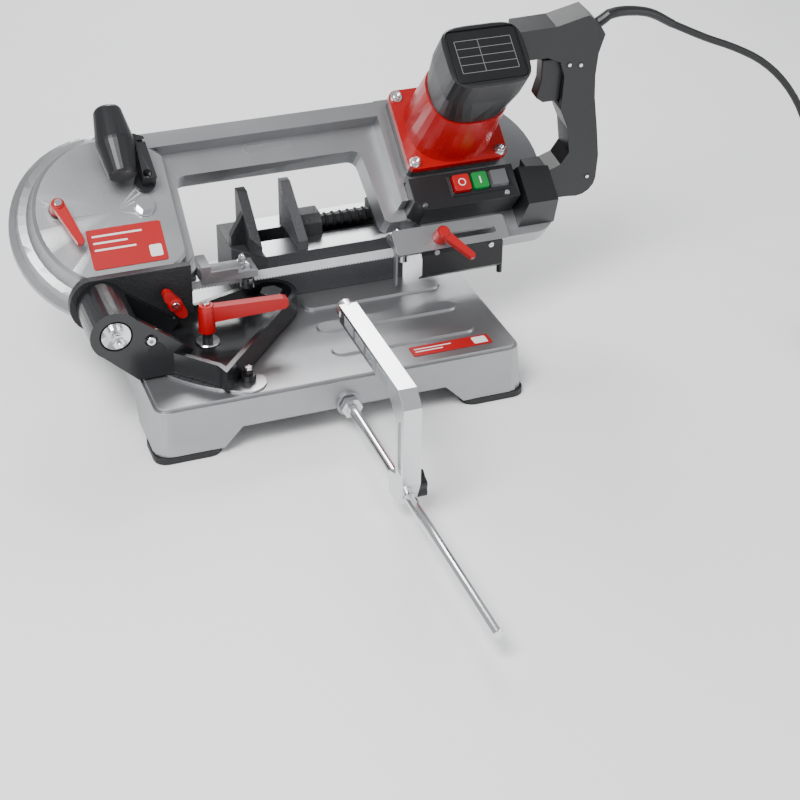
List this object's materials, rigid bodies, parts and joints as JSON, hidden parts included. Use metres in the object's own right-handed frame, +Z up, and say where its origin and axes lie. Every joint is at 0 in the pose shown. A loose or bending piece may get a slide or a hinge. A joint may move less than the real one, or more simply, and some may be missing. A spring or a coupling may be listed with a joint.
{
  "type": "horizontal band saw",
  "caption": "Portable metal-cutting band saw: a C-shaped saw head with motor and D-handle, hinged on a swivel arm over a cast base that carries a vise and a length stop.",
  "frame": {"origin": "bottom centre of the saw's bounding box without its mains lead, on the bench", "axes": "+X along the blade towards the motor, +Y away from the operator, +Z up"},
  "size_m": [1.0466, 0.7748, 0.4048],
  "materials": {
    "cast_aluminium": "satin cast",
    "black_casting": "gloss black",
    "rough_iron": "rough cast",
    "chromed_steel": "bright",
    "blade_steel": "ground",
    "black_steel": "blackened",
    "red_plastic": "gloss",
    "red_paint": "gloss red",
    "black_plastic": "satin moulded",
    "green_plastic": "gloss",
    "clear_plastic": "clear",
    "rubber": "matte",
    "scale_steel": "brushed"
  },
  "bodies": {
    "base": {"base_casting": "cast_aluminium", "foot_front_left": "rubber", "foot_front_right": "rubber", "foot_rear_left": "rubber", "foot_rear_right": "rubber", "mitre_scale": "scale_steel", "zero_stop": "black_steel", "vise_bed": "rough_iron", "fixed_jaw": "rough_iron", "nut_block": "rough_iron", "stop_rod": "chromed_steel", "rod_nut": "chromed_steel", "mitre_bolt": "chromed_steel", "cord": "rubber", "cord_coil": "rubber", "plug": "black_plastic"},
    "swivel": {"swivel_arm": "black_casting", "clamp_stud": "black_steel"},
    "mitre_lever": {"mitre_lever": "red_plastic"},
    "head": {"pivot_plate": "rough_iron", "pivot_shaft": "chromed_steel", "head_casting": "cast_aluminium", "rear_cover": "black_steel", "idler_axle": "chromed_steel", "drive_axle": "chromed_steel", "saw_blade": "blade_steel", "left_guide_arm": "cast_aluminium", "tension_collar": "black_steel", "tension_bolt": "chromed_steel", "front_grip": "black_plastic", "grip_bracket": "black_plastic", "gasket_block": "black_plastic", "motor_housing": "red_paint", "motor_cap": "black_plastic", "switch_box": "black_plastic", "switch_window": "clear_plastic", "main_handle": "black_plastic", "travel_rod": "black_steel", "strain_relief": "black_plastic"},
    "wing_knob": {"wing_knob": "red_plastic"},
    "tension_lever": {"tension_lever": "red_plastic"},
    "idler_wheel": {"idler_wheel": "cast_aluminium"},
    "drive_wheel": {"drive_wheel": "cast_aluminium"},
    "left_front_bearing": {"left_front_bearing": "chromed_steel"},
    "left_rear_bearing": {"left_rear_bearing": "chromed_steel"},
    "guide": {"guide_bar": "cast_aluminium", "blade_guard": "black_steel"},
    "guide_lever": {"guide_lever": "red_plastic"},
    "right_front_bearing": {"right_front_bearing": "chromed_steel"},
    "right_rear_bearing": {"right_rear_bearing": "chromed_steel"},
    "trigger": {"trigger": "black_plastic"},
    "off_button": {"off_button": "red_plastic"},
    "on_button": {"on_button": "green_plastic"},
    "jaw": {"moving_jaw": "rough_iron"},
    "vise_screw": {"vise_screw": "black_steel", "vise_knob": "black_plastic"},
    "stop_arm": {"stop_arm": "cast_aluminium"},
    "stop_knob": {"stop_knob": "black_plastic"}
  },
  "joints": [
    {"name": "mitre", "type": "hinge", "parent": "base", "child": "swivel", "pos_m": [-0.069, 0.21659, 0.07], "axis": [0, 0, -1], "range_deg": [0, 45]},
    {"name": "mitre_clamp", "type": "hinge", "parent": "swivel", "child": "mitre_lever", "pos_m": [-0.16682, 0.14368, 0.099], "axis": [0, 0, 1], "range_deg": [-60, 0]},
    {"name": "head_lift", "type": "hinge", "parent": "swivel", "child": "head", "pos_m": [-0.2765, 0.18739, 0.13], "axis": [0, -1, 0], "range_deg": [0, 55]},
    {"name": "wing_knob_turn", "type": "hinge", "parent": "head", "child": "wing_knob", "pos_m": [-0.195, 0.18139, 0.122], "axis": [0, -1, 0], "range_deg": [0, 60]},
    {"name": "tension_turn", "type": "hinge", "parent": "head", "child": "tension_lever", "pos_m": [-0.303, 0.26766, 0.21351], "axis": [0, -0.6428, 0.766], "range_deg": [-90, 0]},
    {"name": "drive_spin", "type": "hinge", "parent": "head", "child": "drive_wheel", "pos_m": [0.201, 0.28547, 0.17128], "axis": [0, -0.6428, 0.766], "continuous": true},
    {"name": "idler_spin", "type": "hinge", "parent": "head", "child": "idler_wheel", "pos_m": [-0.249, 0.28547, 0.17128], "axis": [0, -0.6428, 0.766], "continuous": true},
    {"name": "left_front_roll", "type": "hinge", "parent": "head", "child": "left_front_bearing", "pos_m": [-0.0995, 0.21034, 0.116], "axis": [0, 0, 1], "continuous": true},
    {"name": "left_rear_roll", "type": "hinge", "parent": "head", "child": "left_rear_bearing", "pos_m": [-0.0995, 0.22884, 0.116], "axis": [0, 0, 1], "continuous": true},
    {"name": "guide_slide", "type": "slide", "parent": "head", "child": "guide", "axis": [-1, 0, 0], "range_m": [0, 0.06]},
    {"name": "guide_clamp", "type": "hinge", "parent": "head", "child": "guide_lever", "pos_m": [0.1345, 0.18877, 0.1434], "axis": [0, -0.6428, 0.766], "range_deg": [0, 80]},
    {"name": "right_front_roll", "type": "hinge", "parent": "guide", "child": "right_front_bearing", "pos_m": [0.095, 0.21034, 0.116], "axis": [0, 0, 1], "continuous": true},
    {"name": "right_rear_roll", "type": "hinge", "parent": "guide", "child": "right_rear_bearing", "pos_m": [0.095, 0.22884, 0.116], "axis": [0, 0, 1], "continuous": true},
    {"name": "trigger_press", "type": "slide", "parent": "head", "child": "trigger", "axis": [1, 0, 0], "range_m": [0, 0.005], "stiffness_N_per_m": 300, "springref_m": -0.004},
    {"name": "off_press", "type": "slide", "parent": "head", "child": "off_button", "axis": [0, 0.6428, -0.766], "range_m": [0, 0.003], "stiffness_N_per_m": 400, "springref_m": -0.002},
    {"name": "on_press", "type": "slide", "parent": "head", "child": "on_button", "axis": [0, 0.6428, -0.766], "range_m": [0, 0.003], "stiffness_N_per_m": 400, "springref_m": -0.002},
    {"name": "jaw_slide", "type": "slide", "parent": "base", "child": "jaw", "axis": [1, 0, 0], "range_m": [-0.04, 0.06]},
    {"name": "vise_turn", "type": "hinge", "parent": "jaw", "child": "vise_screw", "pos_m": [0.148, 0.30009, 0.132], "axis": [1, 0, 0], "range_deg": [-2900, 4400]},
    {"name": "stop_slide", "type": "slide", "parent": "base", "child": "stop_arm", "axis": [0, 1, 0], "range_m": [-0.22, 0.12]},
    {"name": "stop_clamp", "type": "hinge", "parent": "stop_arm", "child": "stop_knob", "pos_m": [-0.0205, -0.13141, 0.035], "axis": [1, 0, 0], "range_deg": [0, 360]}
  ],
  "couplings": [
    {"joint": "idler_spin", "follows": "drive_spin", "ratio": 1},
    {"joint": "left_front_roll", "follows": "drive_spin", "ratio": -10.118},
    {"joint": "left_rear_roll", "follows": "drive_spin", "ratio": 10.118},
    {"joint": "right_front_roll", "follows": "drive_spin", "ratio": -10.118},
    {"joint": "right_rear_roll", "follows": "drive_spin", "ratio": 10.118},
    {"joint": "vise_turn", "follows": "jaw_slide", "rad_per_m": 1256.6}
  ]
}
